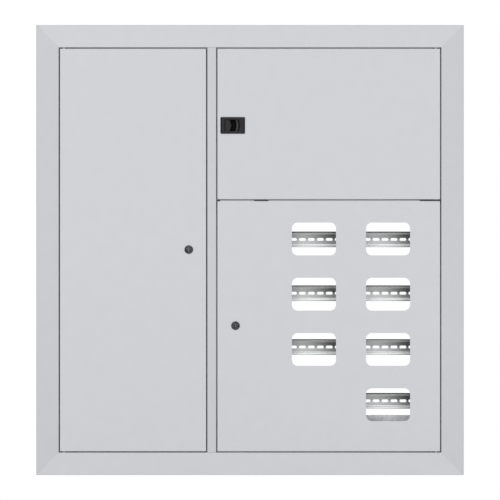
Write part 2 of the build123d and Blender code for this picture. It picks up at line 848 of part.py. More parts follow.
def latch_bolt():
    """The sliding bolt: a bevelled nose, and a slot for the paddle's knob."""
    _, bolt_front, bolt_back = latch_depths()
    tip = bolt_tip_x()
    outline = Polygon(
        (tip, bolt_front),
        (bolt_tail_x, bolt_front),
        (bolt_tail_x, bolt_back),
        (tip + bolt_nose, bolt_back),
        (tip, bolt_front + bolt_edge),
        align=None,
    )
    bolt = extrude(outline, bolt_height / 2, both=True)
    room = bolt_knob / 2 + bolt_slot_gap
    x, half = paddle_pivot_x, bolt_height / 4
    return latch_place() * (bolt - block(x - room, x + room, bolt_front - 1, bolt_back + 1, -half, half))


def latch_spring():
    """A coil spring between the bolt's tail and the end wall of its guide."""
    _, bolt_front, bolt_back = latch_depths()
    start = bolt_tail_x + bolt_side_gap
    end = guide_end_x - guide_wall - bolt_side_gap
    middle = (bolt_front + bolt_back) / 2
    radius = (spring_diameter - spring_wire) / 2
    length = end - start - spring_wire
    path = Helix(length / spring_turns, length, radius)
    start_plane = Plane(path @ 0, z_dir=path % 0)
    coil = sweep(start_plane * RegularPolygon(spring_wire / 2, 6), path=path)
    return latch_place() * Pos(start + spring_wire / 2, middle, 0) * Rot(0, 90, 0) * coil


def latch_cover():
    """A plate over the bolt, on the rails of its guide, with a slot for the paddle's knob."""
    _, _, bolt_back = latch_depths()
    y = bolt_back + bolt_side_gap
    half = bolt_height / 2 + bolt_side_gap + guide_wall
    cover = block(-latch_body[0] / 2, guide_end_x, y, y + latch_plate_thick, -half, half)
    _, travel = bolt_arm()
    room = bolt_knob / 2 + bolt_slot_gap
    half = bolt_height / 4
    start, end = paddle_pivot_x - room, paddle_pivot_x + travel + room
    return latch_place() * (cover - block(start, end, y - 1, y + 2 * latch_plate_thick, -half, half))


def latch_clamp():
    """A spring steel ring round the body, which holds the latch in the door."""
    width = latch_body[0] + 2 * latch_body_gap
    height = latch_body[1] + 2 * latch_body_gap
    outer = Box(width + 2 * clamp_ring_width, latch_plate_thick, height + 2 * clamp_ring_width)
    ring = outer - Box(width, 2 * latch_plate_thick, height)
    return latch_place() * Pos(0, door_sheet + latch_plate_thick / 2, 0) * ring


def earth_stud(x, y, z, turn=Rot(0, 0, 0)):
    """A stud welded on a sheet, along +Y, and its nut."""
    stud = rod(stud_diameter, stud_length, (0, 0, 0))
    nut = hex_nut(stud_nut_width, stud_nut_thick, stud_diameter + 2 * close_gap, (0, close_gap, 0))
    return [Pos(x, y, z) * turn * piece for piece in (stud, nut)]


def door_buffers():
    """Rubber pads on the lips of the mullion, where the closing edges of the doors come to rest."""
    left_x = mullion_left - lip_width / 2
    right_x = mullion_right + lip_width / 2
    places = [(left_x, end * opening_top / 2) for end in (-1, 1)]
    for _, _, z0, z1 in (lower_door_box, upper_door_box):
        places += [(right_x, z0 + stud_from_edge), (right_x, z1 - stud_from_edge)]
    front = door_back_y + buffer_gap
    return [rod(buffer_size, lip_front_y - front, (x, front, z)) for x, z in places]


def write_doors():
    write("left_door", left_door())
    write("lower_door", lower_door())
    write("upper_door", upper_door())
    for name, box, side, top in (
        ("left", left_door_box, -1, left_door_box[3] - door_sheet),
        ("lower", lower_door_box, 1, notch_z),
        ("upper", upper_door_box, 1, upper_door_box[3] - door_sheet),
    ):
        x = box[0] if side < 0 else box[1]
        pivots = [pivot_block(x, side, box[2] + door_sheet, 1), pivot_block(x, side, top, -1)]
        write(f"{name}_door_pivots", *pivots)
        stud_x = x - side * stud_from_edge
        write(f"{name}_door_earth_stud", *earth_stud(stud_x, door_inner_y, box[2] + stud_from_edge / 2))


def write_locks():
    names = ("lock_barrel", "lock_nut", "lock_plug", "lock_cam", "lock_cam_screw")
    left = lock_parts(left_door_box[1] - left_lock_inset, left_lock_above_middle)
    lower = lock_parts(lower_door_box[0] + lower_lock_inset, lower_middle_z + lower_lock_above_middle)
    for side, parts in (("left", left), ("lower", lower)):
        for name, part in zip(names, parts):
            write(f"{side}_{name}", part)


def write_latch():
    write("latch_housing", latch_housing())
    write("latch_pin", latch_pin())
    write("latch_paddle", latch_paddle())
    write("latch_bolt", latch_bolt())
    write("latch_spring", latch_spring())
    write("latch_cover", latch_cover())
    write("latch_clamp", latch_clamp())


def write_body():
    write("door_frame", door_frame())
    write("left_side_wall", side_wall(-1))
    write("right_side_wall", side_wall(1))
    write("top_wall", end_wall(1))
    write("bottom_wall", end_wall(-1))
    write("partition", partition())
    write("divider_rail", divider_rail())
    hinge_span, rest_span = plate_spans()
    write("middle_hinge_plate", hinge_plate(*hinge_span))
    write("door_rest_plate", gap_plate(*rest_span))
    write("hinge_pins", *hinge_pins())
    write("door_buffers", *door_buffers())
    x, y, z = mullion_x - stud_from_edge, -body_sheet - mounting_plate_sheet, 0
    write("body_earth_stud", *earth_stud(x, y, z, Rot(0, 0, 180)))


def write_inside():
    write("lower_cross_rail", cross_rail(lower_cross_z))
    write("upper_cross_rail", cross_rail(upper_cross_z))
    write("rail_posts", *[post(x) for x in post_xs])
    write("short_din_rails", *short_rails())
    write("long_din_rails", *long_rails())
    write("rail_brackets", *rail_brackets())
    write("bar_rail", bar_rail())
    write("bar_insulators", *insulators())
    neutral_x, earth_x = bar_centres()
    write("neutral_bar", terminal_bar(neutral_x))
    write("earth_bar", terminal_bar(earth_x))
    write("mounting_plate", mounting_plate())


os.makedirs("parts", exist_ok=True)
write_body()
write_doors()
write_locks()
write_latch()
write_inside()
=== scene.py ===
import json
import math

import bmesh
import bpy
import numpy as np
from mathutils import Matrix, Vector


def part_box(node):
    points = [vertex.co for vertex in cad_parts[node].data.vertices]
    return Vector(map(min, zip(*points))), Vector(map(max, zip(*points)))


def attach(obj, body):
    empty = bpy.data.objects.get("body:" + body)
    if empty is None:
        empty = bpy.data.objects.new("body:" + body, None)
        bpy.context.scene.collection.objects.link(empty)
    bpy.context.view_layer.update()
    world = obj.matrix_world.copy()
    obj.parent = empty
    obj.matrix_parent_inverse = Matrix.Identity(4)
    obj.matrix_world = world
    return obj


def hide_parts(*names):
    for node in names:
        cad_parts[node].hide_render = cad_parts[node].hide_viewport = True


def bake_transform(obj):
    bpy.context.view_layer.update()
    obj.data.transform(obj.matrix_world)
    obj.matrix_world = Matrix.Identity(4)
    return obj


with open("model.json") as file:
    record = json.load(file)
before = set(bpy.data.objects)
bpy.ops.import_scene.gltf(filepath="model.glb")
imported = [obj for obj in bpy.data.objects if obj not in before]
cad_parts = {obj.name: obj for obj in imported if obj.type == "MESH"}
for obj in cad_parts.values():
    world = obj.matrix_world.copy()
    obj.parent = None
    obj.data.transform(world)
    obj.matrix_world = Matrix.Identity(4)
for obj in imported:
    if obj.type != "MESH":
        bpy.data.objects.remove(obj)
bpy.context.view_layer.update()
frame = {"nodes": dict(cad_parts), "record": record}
nodes = frame["nodes"]
slotOf = {part["node"]: part["material_slot"] for part in frame["record"]["subparts"]}
mm = 0.001
faceY = -150.0 * mm  # the front of the frame and of the doors
print("frame loaded:", len(nodes), "nodes")


class Signal:
    # A shader output that can be added, multiplied and compared; plain numbers are worked out in Python.
    # A signal without a socket makes the first nodes of a tree.
    def __init__(self, tree, socket=None):
        self.tree = tree
        self.socket = socket

    def node(self, kind, settings, sockets, out=0):
        # Settings are set first, a ramp's stops among them, then each socket gets its value or its link.
        made = self.tree.nodes.new(kind)
        for key, value in settings.items():
            if key == "stops":
                ramp = made.color_ramp
                while len(ramp.elements) < len(value):
                    ramp.elements.new(0.5)
                for element, (place, tone) in zip(ramp.elements, value):
                    element.position = place
                    element.color = (tone, tone, tone, 1)
            else:
                setattr(made, key, value)
        for key, value in sockets.items():
            if isinstance(value, Signal):
                self.tree.links.new(value.socket, made.inputs[key])
            else:
                made.inputs[key].default_value = value
        return Signal(self.tree, made.outputs[out])

    def sum(self, operation, first, second=0.0):
        return self.node("ShaderNodeMath", {"operation": operation}, {0: first, 1: second})

    def __add__(self, other):
        return self.sum("ADD", self, other)

    def __radd__(self, other):
        return self.sum("ADD", other, self)

    def __sub__(self, other):
        return self.sum("SUBTRACT", self, other)

    def __rsub__(self, other):
        return self.sum("SUBTRACT", other, self)

    def __mul__(self, other):
        return self.sum("MULTIPLY", self, other)

    def __rmul__(self, other):
        return self.sum("MULTIPLY", other, self)

    def __truediv__(self, other):
        return self.sum("DIVIDE", self, other)

    def __pow__(self, other):
        return self.sum("POWER", self, other)

    def __abs__(self):
        return self.sum("ABSOLUTE", self)

    def __lt__(self, other):
        return self.sum("LESS_THAN", self, other)

    def __gt__(self, other):
        return self.sum("GREATER_THAN", self, other)

    def largest(self, other):
        return self.sum("MAXIMUM", self, other)

    def fraction(self):
        return self.sum("FRACT", self)

    def step(self, low, high):
        # 0 below low, 1 above high, smooth between
        return self.node("ShaderNodeMapRange", {"interpolation_type": "SMOOTHSTEP"},
                         {"Value": self, "From Min": low, "From Max": high})


class Finish:
    # One material with a Principled shader. Its Object coordinates come as a vector and as x, y, z in
    # metres.
    def __init__(self, name, roughness, metallic=0.0, specular=0.5):
        self.material = bpy.data.materials.new(name)
        self.material.use_nodes = True
        self.tree = self.material.node_tree
        self.shader = self.tree.nodes["Principled BSDF"]
        self.shader.inputs["Roughness"].default_value = roughness
        self.shader.inputs["Metallic"].default_value = metallic
        self.shader.inputs["Specular IOR Level"].default_value = specular
        self.node = Signal(self.tree).node
        self.place = self.node("ShaderNodeTexCoord", {}, {}, "Object")
        self.x, self.y, self.z = (
            self.node("ShaderNodeSeparateXYZ", {}, {"Vector": self.place}, axis) for axis in "XYZ"
        )

    def stretched(self, scale):
        return self.node("ShaderNodeMapping", {}, {"Vector": self.place, "Scale": scale})

    def noise(self, scale, detail=2.0, vector=None):
        return self.node("ShaderNodeTexNoise", {},
                         {"Vector": vector or self.place, "Scale": scale, "Detail": detail})

    def cells(self, scale, out="Distance"):
        return self.node("ShaderNodeTexVoronoi", {}, {"Vector": self.place, "Scale": scale}, out)

    def mix(self, share, first, second, blend="MIX"):
        first, second = (value if isinstance(value, Signal) else (*value, 1.0)
                         for value in (first, second))
        return self.node("ShaderNodeMix", {"data_type": "RGBA", "blend_type": blend},
                         {0: share, 6: first, 7: second}, 2)

    def link(self, socket, value):
        self.tree.links.new(value.socket, self.shader.inputs[socket])

    def bump(self, height, strength, distance):
        self.link("Normal", self.node("ShaderNodeBump", {},
                                      {"Height": height, "Strength": strength, "Distance": distance}))


def shaded(colour, share):
    return tuple(share * value for value in colour)


coat = {
    "door": (0.618, 0.628, 0.655),
    # the stiles' tone is painted shade, darker than the rails beside them
    "stilePaintedShade": (0.573, 0.583, 0.606),
    "roughness": 0.46,
    "glossChange": 0.08,
    "peelScale": 620.0,
    "peelStrength": 0.35,
    "peelHeight": 0.06 * mm,
    "mottle": 0.012,
    "mottleScale": 38.0,
}
mitre = {
    "halfWidth": 475.0 * mm,
    "halfHeight": 500.0 * mm,
    "railsFrom": 449.7 * mm,  # height at which the top and bottom rails begin
    "front": -147.5 * mm,  # only what lies before this takes the stiles' painted shade
    "soft": 0.6 * mm,
    "seam": 0.5 * mm,
    "seamDepth": 2.0,
}


def powderCoat(name, framed=False):
    # Satin powder coat: orange peel from fine noise, and a faint mottle. On the frame the stiles carry a
    # painted shade, a tone darker than the rails, and they meet on the mitre, where |x| less the half
    # width equals |z| less the half height. A fine weld seam is sunk along it.
    finish = Finish(name, coat["roughness"])
    peel = finish.noise(coat["peelScale"], 3.0)
    shade = finish.noise(coat["mottleScale"]).step(0.35, 0.65)

    def tone(part):
        return finish.mix(shade, shaded(coat[part], 1 - coat["mottle"]), coat[part])

    colour, height = tone("door"), peel
    if framed:
        away = (abs(finish.x) - mitre["halfWidth"]) - (abs(finish.z) - mitre["halfHeight"])
        # the stiles take a painted shade, darker than the rails
        stilePaintedShade = away.step(-mitre["soft"], mitre["soft"]).largest(abs(finish.z) < mitre["railsFrom"])
        colour = finish.mix(stilePaintedShade * (finish.y < mitre["front"]), colour, tone("stilePaintedShade"))
        seam = abs(away).step(0.0, mitre["seam"])
        height = peel + mitre["seamDepth"] * seam * (abs(finish.z) > mitre["railsFrom"])
    else:
        finish.link("Roughness", coat["roughness"] + coat["glossChange"] * (peel - 0.5))
    finish.link("Base Color", colour)
    finish.bump(height, coat["peelStrength"], coat["peelHeight"])
    return finish.material


zinc = {
    "light": (0.60, 0.61, 0.625),
    "dark": (0.42, 0.43, 0.445),
    "metallic": 0.8,
    "roughness": 0.27,
    "glossChange": 0.2,
    "spangleScale": 95.0,
    "spangleShare": 0.75,
    "grainScale": 900.0,
    "grainShare": 0.35,
    "grainStrength": 0.2,
    "grainHeight": 0.03 * mm,
}


def galvanised(name):
    # Hot-dip zinc: crystals are Voronoi cells, each with its own tone and gloss, under a fine grain.
    finish = Finish(name, zinc["roughness"], metallic=zinc["metallic"])
    crystals = finish.cells(zinc["spangleScale"], "Color")
    tone = finish.node("ShaderNodeSeparateColor", {}, {"Color": crystals})
    grain = finish.noise(zinc["grainScale"])
    share = zinc["spangleShare"] * tone + zinc["grainShare"] * grain
    finish.link("Base Color", finish.mix(share, zinc["dark"], zinc["light"]))
    finish.link("Roughness", zinc["roughness"] + zinc["glossChange"] * tone)
    finish.bump(grain, zinc["grainStrength"], zinc["grainHeight"])
    return finish.material


rail = {
    "metallic": 0.9,
    "roughness": 0.32,
    "topMiddle": 23.7 * mm,
    "pitch": 120.3 * mm,
    "height": 35.0 * mm,
    "sheet": 1.0 * mm,
    "windowMiddles": (142.1 * mm, 306.8 * mm),
    "windowWidth": 98.0 * mm,
    # painted light and shade from the upper edge to the lower one: a shadow line at the edge, a lit upper
    # brim, the channel shaded under it, a highlight on the lower brim; at the left and at the right of a
    # window
    "left": ((0.07, 0.0), (0.085, 0.56), (0.17, 0.56), (0.185, 0.31), (0.48, 0.32), (0.54, 0.44),
             (0.79, 0.44), (0.81, 0.80), (0.92, 0.80), (0.935, 0.50)),
    "right": ((0.07, 0.0), (0.085, 0.46), (0.17, 0.46), (0.185, 0.07), (0.48, 0.10), (0.54, 0.22),
              (0.79, 0.22), (0.81, 0.72), (0.92, 0.72), (0.935, 0.26)),
    "lineScale": (6.0, 900.0, 900.0),
    "lineTones": ((0.92, 0.93, 0.94), (1.04, 1.05, 1.06)),
    "lineStrength": 0.15,
    "lineHeight": 0.04 * mm,
}


def railZincPaintedLight(name):
    # Rolled, zinc-plated strip: fine lines along X. Its tone is painted light and shade: it follows the
    # bends from the upper brim to the lower one, and a painted reflection falls from left to right across
    # each window.
    finish = Finish(name, rail["roughness"], metallic=rail["metallic"])
    lines = finish.noise(1.0, 3.0, finish.stretched(rail["lineScale"]))
    rows = (rail["topMiddle"] + rail["height"] / 2 - finish.z) / rail["pitch"]
    down = rows.fraction() * rail["pitch"] / rail["height"]
    starts = [(finish.x - middle) / rail["windowWidth"] + 0.5 for middle in rail["windowMiddles"]]
    rightHand = finish.x > sum(rail["windowMiddles"]) / 2
    across = finish.node("ShaderNodeMix", {}, {0: rightHand, 2: starts[0], 3: starts[1]})
    # painted shade and highlights of the bends, as bands down the rail
    tones = [finish.node("ShaderNodeValToRGB", {"stops": rail[side]}, {"Fac": down})
             for side in ("left", "right")]
    # a painted reflection, darker from left to right across each window
    tone = finish.mix(across.step(0.1, 1.0), tones[0], tones[1])
    worn = finish.mix(lines, *rail["lineTones"])
    finish.link("Base Color", finish.mix(1.0, tone, worn, "MULTIPLY"))
    finish.bump(lines, rail["lineStrength"], rail["lineHeight"])
    return finish.material


metalWear = {"glossChange": 0.12, "strength": 0.15, "height": 0.03 * mm}


def metal(name, light, dark, roughness, scale, stretch=(1, 1, 1), metallic=1.0):
    # A plain metal: two close tones from noise, which also changes its gloss, and a fine bump.
    finish = Finish(name, roughness, metallic=metallic)
    wear = finish.noise(scale, 4.0, finish.stretched(stretch))
    finish.link("Base Color", finish.mix(wear.step(0.3, 0.7), dark, light))
    finish.link("Roughness", roughness + metalWear["glossChange"] * (wear - 0.5))
    finish.bump(wear, metalWear["strength"], metalWear["height"])
    return finish.material


plastic = {"toneScale": 60.0, "tones": (0.85, 1.1), "glossChange": 0.1, "grainStrength": 0.3}


def moulded(name, colour, roughness, grainScale, grainHeight, arc=None, specular=0.45):
    # Moulded plastic: a spark-eroded grain from cells. An arc is the bowed edge of the latch's bowl, and
    # off is how far a point lies outside that circle. A painted shadow line follows the edge, the scooped
    # wall inside it has a painted highlight, and the depth of the bowl is painted shade, near black. The
    # rounded edges at both ends of the bezel are darker with painted shade.
    finish = Finish(name, roughness, specular=specular)
    grain = finish.cells(grainScale)
    soft = finish.noise(plastic["toneScale"])
    tone = finish.mix(soft.step(0.3, 0.7), *(shaded(colour, share) for share in plastic["tones"]))
    if arc:
        dx, dz = finish.x - arc["x"], finish.z - arc["z"]
        off = (dx * dx + dz * dz) ** 0.5 - arc["radius"]
        inside = (abs(dz) < arc["halfHeight"]) * (dx > 0.0)
        # a painted highlight on the scooped wall and painted shade in the depth of the bowl
        wall = (off - arc["wall"]).step(-arc["soft"], arc["soft"])
        tone = finish.mix(inside * (finish.y > arc["front"]), tone,
                          finish.mix(wall, arc["paintedHollowShade"], arc["paintedWallLight"]))
        # a painted shadow line along the edge of the bowl, and painted shade on the rounded ends of the
        # bezel
        line = 1.0 - (abs(off) - arc["line"]).step(-arc["soft"], arc["soft"])
        ends = (abs(finish.x - arc["bezelMiddle"]) - arc["bezelReach"]).step(-arc["soft"], arc["soft"])
        tone = finish.mix((line * inside).largest(arc["endShade"] * ends), tone, arc["paintedHollowShade"])
    finish.link("Base Color", tone)
    finish.link("Roughness", roughness + plastic["glossChange"] * (soft - 0.5))
    finish.bump(grain, plastic["grainStrength"], grainHeight)
    return finish.material


latch = {
    "x": -38.4 * mm,
    "z": 276.8 * mm,
    "black": (0.030, 0.028, 0.031),
    "paddle": (0.032, 0.031, 0.033),
    # the scoop at the paddle's heel: the same black plastic made lighter, as painted light
    "heel": (0.10, 0.10, 0.102),
    "roughness": 0.6,
    "specular": 0.1,
    "grainScale": 1500.0,
}
mouthArc = {
    "x": latch["x"] - 21.5 * mm,
    "z": latch["z"],
    "radius": 35.9 * mm,
    "line": 1.7 * mm,  # half the width of the painted shadow line
    "soft": 0.4 * mm,
    "halfHeight": 12.9 * mm,
    "front": -149.6 * mm,  # the bowl lies behind this
    "wall": -6.2 * mm,  # from the edge to the foot of the wall with the painted highlight
    "bezelMiddle": latch["x"],
    "bezelReach": 24.3 * mm,
    "endShade": 0.75,
    # painted shade in the depth of the bowl, and a painted highlight on its scooped wall
    "paintedHollowShade": (0.0006, 0.0006, 0.0006),
    "paintedWallLight": (0.15, 0.15, 0.153),
}


def latchPlastic(name, colour, grainHeight, arc=None):
    return moulded(name, colour, latch["roughness"], latch["grainScale"], grainHeight, arc,
                   latch["specular"])


finishes = {
    "powder_coat": powderCoat("doorCoat"),
    "galvanised": galvanised("galvanisedSheet"),
    "plated_steel": metal("platedSteel", (0.62, 0.62, 0.61), (0.48, 0.48, 0.47), 0.32, 400.0),
    "spring_steel": metal("springWire", (0.36, 0.36, 0.37), (0.22, 0.22, 0.23), 0.3, 900.0),
    "terminal_brass": metal("terminalBrass", (0.78, 0.58, 0.27), (0.62, 0.44, 0.19), 0.28, 240.0,
                            stretch=(0.2, 1, 1)),
    "dark_chrome": metal("darkChrome", (0.080, 0.080, 0.083), (0.018, 0.018, 0.020), 0.34, 260.0),
    "black_plastic": latchPlastic("latchBlack", latch["black"], 0.04 * mm, mouthArc),
    "buffer_rubber": moulded("bufferRubber", (0.022, 0.022, 0.022), 0.75, 900.0, 0.05 * mm),
    "insulator_plastic": moulded("insulatorRed", (0.36, 0.055, 0.03), 0.5, 700.0, 0.05 * mm),
}
darkPlate = metal("darkPlate", (0.036, 0.036, 0.038), (0.022, 0.022, 0.024), 0.55, 300.0, metallic=0.5)
special = {
    "door_frame": powderCoat("frameCoat", framed=True),
    "short_din_rails": railZincPaintedLight("rolledRailPaintedLight"),
    "latch_paddle": latchPlastic("paddleBlack", latch["paddle"], 0.03 * mm),
    "middle_hinge_plate": darkPlate,
    "door_rest_plate": darkPlate,
    # the pins show in the corners of the doors, where they are no lighter than the coat
    "hinge_pins": metal("pinSteel", (0.26, 0.26, 0.27), (0.18, 0.18, 0.19), 0.5, 400.0),
    # the bolt is coloured near black as painted shade in the bowl of the latch: nothing bright shows there
    "latch_bolt": metal("boltPaintedShade", (0.030, 0.030, 0.031), (0.018, 0.018, 0.019), 0.5, 300.0,
                        metallic=0.5),
}
for name, node in nodes.items():
    node.data.materials.clear()
    node.data.materials.append(special.get(name, finishes[slotOf[name]]))
print("finishes on", len(nodes), "nodes")


def gridFaces(rows, columns, closedRows=False):
    # Quads of a grid whose columns run all the way round. Each joins two rows at two neighbouring columns.
    i = np.arange(rows if closedRows else rows - 1)[:, None]
    j = np.arange(columns)[None, :]
    below, above = i * columns, (i + 1) % rows * columns
    beside = (j + 1) % columns
    return np.stack([below + j, below + beside, above + beside, above + j], -1).reshape(-1, 4)


def circle(steps):
    return np.arange(steps) * 2 * math.pi / steps


def basis(axis):
    # Three perpendicular unit vectors as rows, the last along the axis
    axis = np.array(axis, float) / np.linalg.norm(axis)
    helper = np.array((1.0, 0, 0)) if abs(axis[0]) < 0.9 else np.array((0, 0, 1.0))
    side = np.cross(helper, axis)
    side /= np.linalg.norm(side)
    return np.array((np.cross(side, axis), side, axis))


def turned(profile, steps=24, outline=None, closed=False):
    # A profile of (radius, height) turned round Z. An outline gives each angle its share of the radius,
    # and a closed profile makes a ring.
    radius, height = np.array(profile, float).T
    angle = circle(steps)
    share = np.ones(steps) if outline is None else outline(angle)
    x = radius[:, None] * np.cos(angle) * share
    y = radius[:, None] * np.sin(angle) * share
    z = np.broadcast_to(height[:, None], x.shape)
    return np.stack([x, y, z], -1).reshape(-1, 3), gridFaces(len(profile), steps, closed)


def copied(shape, places):
    # The same shape at each place; a place is a centre, an axis and a turn about it in degrees.
    points, faces = shape
    allPoints, allFaces = [], []
    for number, (centre, axis, spin) in enumerate(places):
        c, s = math.cos(math.radians(spin)), math.sin(math.radians(spin))
        turn = np.array(((c, s, 0), (-s, c, 0), (0, 0, 1)))
        allPoints.append(points @ turn @ basis(axis) + np.array(centre))
        allFaces.append(faces + number * len(points))
    return np.concatenate(allPoints), np.concatenate(allFaces)


def joined(*shapes):
    points, faces, count = [], [], 0
    for shape in shapes:
        points.append(shape[0])
        faces.append(shape[1] + count)
        count += len(shape[0])
    return np.concatenate(points), np.concatenate(faces)


def piece(name, shape, body, slot, material=None, crease=38.0):
    # Puts a shape into a mesh, merges doubles, turns the faces outwards and creases edges sharper than an
    # angle. A piece that blends between two bodies is made with no body.
    points, faces = shape
    mesh = bpy.data.meshes.new(name)
    mesh.from_pydata(points.tolist(), [], faces.tolist())
    work = bmesh.new()
    work.from_mesh(mesh)
    bmesh.ops.remove_doubles(work, verts=work.verts, dist=1e-6)
    bmesh.ops.dissolve_degenerate(work, edges=work.edges, dist=1e-7)
    bmesh.ops.recalc_face_normals(work, faces=work.faces)
    work.to_mesh(mesh)
    work.free()
    mesh.polygons.foreach_set("use_smooth", np.ones(len(mesh.polygons), bool))
    mesh.set_sharp_from_angle(angle=math.radians(crease))
    mesh.materials.append(material or finishes[slot])
    made = bpy.data.objects.new(name, mesh)
    bpy.context.scene.collection.objects.link(made)
    if body:
        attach(made, body)
    return made


def boxOf(node):
    lower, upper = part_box(node)
    return lower, upper, (lower + upper) / 2


def head(rings, steps, radius, height, top):
    # A screw head from rings, given as shares of its radius, and the height's share at each grid point
    angle = circle(steps)
    x, y = rings[:, None] * np.cos(angle), rings[:, None] * np.sin(angle)
    points = np.stack([radius * x, radius * y, height * top(x, y)], -1).reshape(-1, 3)
    return points, gridFaces(len(rings), steps)


crossRecess = {"half": 0.15, "reach": 0.6, "depth": 0.62, "taper": 1.3, "least": 0.15, "fall": 0.38}


def crossHead(radius, height):
    # A pan head: its height falls with the cube of the radius. A cross is sunk where the nearer of |x|
    # and |y| is under 0.15 of the head's radius, deepest in the middle.
    rings = np.array((0.0, 0.16, 0.3, 0.44, 0.58, 0.66, 0.84, 0.96, 1.0, 1.0))

    def top(x, y):
        out = rings[:, None]
        sunk = (np.minimum(abs(x), abs(y)) < crossRecess["half"]) & (out < crossRecess["reach"])
        depth = crossRecess["depth"] * (1 - crossRecess["taper"] * out).clip(crossRecess["least"], 1)
        level = 1 - crossRecess["fall"] * out ** 3 - np.where(sunk, depth, 0)
        level[-1] = 0
        return level

    return head(rings, 24, radius, height, top)


slotRecess = {"half": 0.14, "depth": 0.45, "flatAbove": 0.85}


def slottedHead(radius, height):
    # A cheese head: flat with a rounded edge, and a slot sunk where |y| is under 0.14 of the radius
    rings = np.array((0.0, 0.3, 0.6, 0.86, 0.97, 1.0, 1.0))
    level = np.array((1.0, 1.0, 1.0, 1.0, 0.94, 0.8, 0.0))[:, None]

    def top(x, y):
        sunk = (abs(y) < slotRecess["half"]) & (level > slotRecess["flatAbove"])
        return level - np.where(sunk, slotRecess["depth"], 0)

    return head(rings, 20, radius, height, top)


def hexOutline(angle):
    # Distance to a hexagon's side, as a share of the distance to its corner
    return math.cos(math.pi / 6) / np.cos((angle + math.pi / 6) % (math.pi / 3) - math.pi / 6)


flatWasher = {"thickness": 0.9 * mm, "edge": 0.3 * mm, "sunk": 0.1 * mm}


def hexHead(radius, height, washer):
    # A six-sided head with a chamfered top, on a flat washer of the radius given
    top, edge = flatWasher["thickness"], flatWasher["edge"]
    profile = [(0, height), (0.8 * radius, height), (radius, 0.86 * height), (radius, 0)]
    bolt = turned(profile, outline=hexOutline)
    ring = turned([(0, top), (washer - edge, top), (washer, top - edge), (washer, 0)])
    return joined(ring, (bolt[0] + (0, 0, top - flatWasher["sunk"]), bolt[1]))


def crest(height, angle, pitch):
    # The thread's triangle wave, 1 on the crest and 0 in the root: its phase is the height over the pitch
    # less the angle's share of a turn.
    phase = (height[:, None] / pitch - angle / (2 * math.pi)) % 1.0
    return abs(2 * phase - 1)


def threadHeights(length, pitch):
    return np.linspace(0, length, int(5 * length / pitch) + 1)


def sweptRound(run, height, angle):
    return np.stack([run * np.cos(angle), run * np.sin(angle), height[:, None] + 0 * run], -1)


def thread(radius, length, pitch, depth, steps=20, lead=0.7):
    # A threaded rod: the crest's wave under its radius, fading within a lead, in pitches, of each end.
    height, angle = threadHeights(length, pitch), circle(steps)
    run = radius - depth * (1 - crest(height, angle, pitch))
    edge = np.minimum(height, length - height)[:, None] / (lead * pitch)
    run = run - depth * (1 - edge).clip(0, 1)
    caps = np.zeros((2, 1, steps, 3))
    caps[1, ..., 2] = length
    grid = np.concatenate([caps[0], sweptRound(run, height, angle), caps[1]])
    return grid.reshape(-1, 3), gridFaces(len(grid), steps)


forward = (0, -1, 0)
halfPost = 24.5 * mm
lower, upper, _ = boxOf("rail_posts")
postLeft, postRight = lower.x + halfPost, upper.x - halfPost
postMiddle = (postLeft + postRight) / 2
webFace = lower.y
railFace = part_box("short_din_rails")[1].y - rail["sheet"]

panScrews = {
    "radius": 3.6 * mm,
    "height": 2.0 * mm,
    "fromMiddle": 6.8 * mm,
    "fromEnd": 12.0 * mm,
    "shortRails": (3, 4),
    "longLevels": (213.0 * mm, 363.0 * mm),
}
panHead = crossHead(panScrews["radius"], panScrews["height"])
# each screw has stopped at its own angle
places = []
for column, count in enumerate(panScrews["shortRails"]):
    ends = ((postLeft, postMiddle - panScrews["fromMiddle"]),
            (postMiddle + panScrews["fromMiddle"], postRight))[column]
    places += [((x, railFace, rail["topMiddle"] - row * rail["pitch"]), forward,
                31 * number + 17 * row + 40 * column)
               for row in range(count) for number, x in enumerate(ends)]
piece("railScrews", copied(panHead, places), "root", "plated_steel")

lower, upper, _ = boxOf("long_din_rails")
ends = lower.x + panScrews["fromEnd"], upper.x - panScrews["fromEnd"]
places = [((x, railFace, z), forward, 23 * number + 300 * z)
          for z in panScrews["longLevels"] for number, x in enumerate(ends)]
piece("longRailScrews", copied(panHead, places), "root", "plated_steel")

lower, upper, centre = boxOf("bar_rail")
ends = lower.x + panScrews["fromEnd"], upper.x - panScrews["fromEnd"]
places = [((x, lower.y, centre.z), forward, 50 * number) for number, x in enumerate(ends)]
piece("barRailScrews", copied(panHead, places), "root", "plated_steel")

terminals = {
    "radius": 2.9 * mm,
    "height": 2.4 * mm,
    "pitch": 20.0 * mm,
    "count": 5,
    "hexRadius": 4.35 * mm,
    "hexHeight": 3.6 * mm,
    "hexWasher": 4.524 * mm,
    "hexFromMiddle": 61.0 * mm,
}
terminalHead = slottedHead(terminals["radius"], terminals["height"])
terminalBolt = hexHead(terminals["hexRadius"], terminals["hexHeight"], terminals["hexWasher"])
offsets = (np.arange(terminals["count"]) - (terminals["count"] - 1) / 2) * terminals["pitch"]
for bar in ("neutral", "earth"):
    lower, upper, centre = boxOf(bar + "_bar")
    places = [((centre.x + offset, lower.y, centre.z), forward, 37 * number)
              for number, offset in enumerate(offsets)]
    piece(bar + "BarScrews", copied(terminalHead, places), "root", "plated_steel")
    places = [((centre.x + side * terminals["hexFromMiddle"], lower.y, centre.z), forward, 11 * side)
              for side in (-1, 1)]
    piece(bar + "BarBolts", copied(terminalBolt, places), "root", "plated_steel")
print("fasteners of the rails and bars")

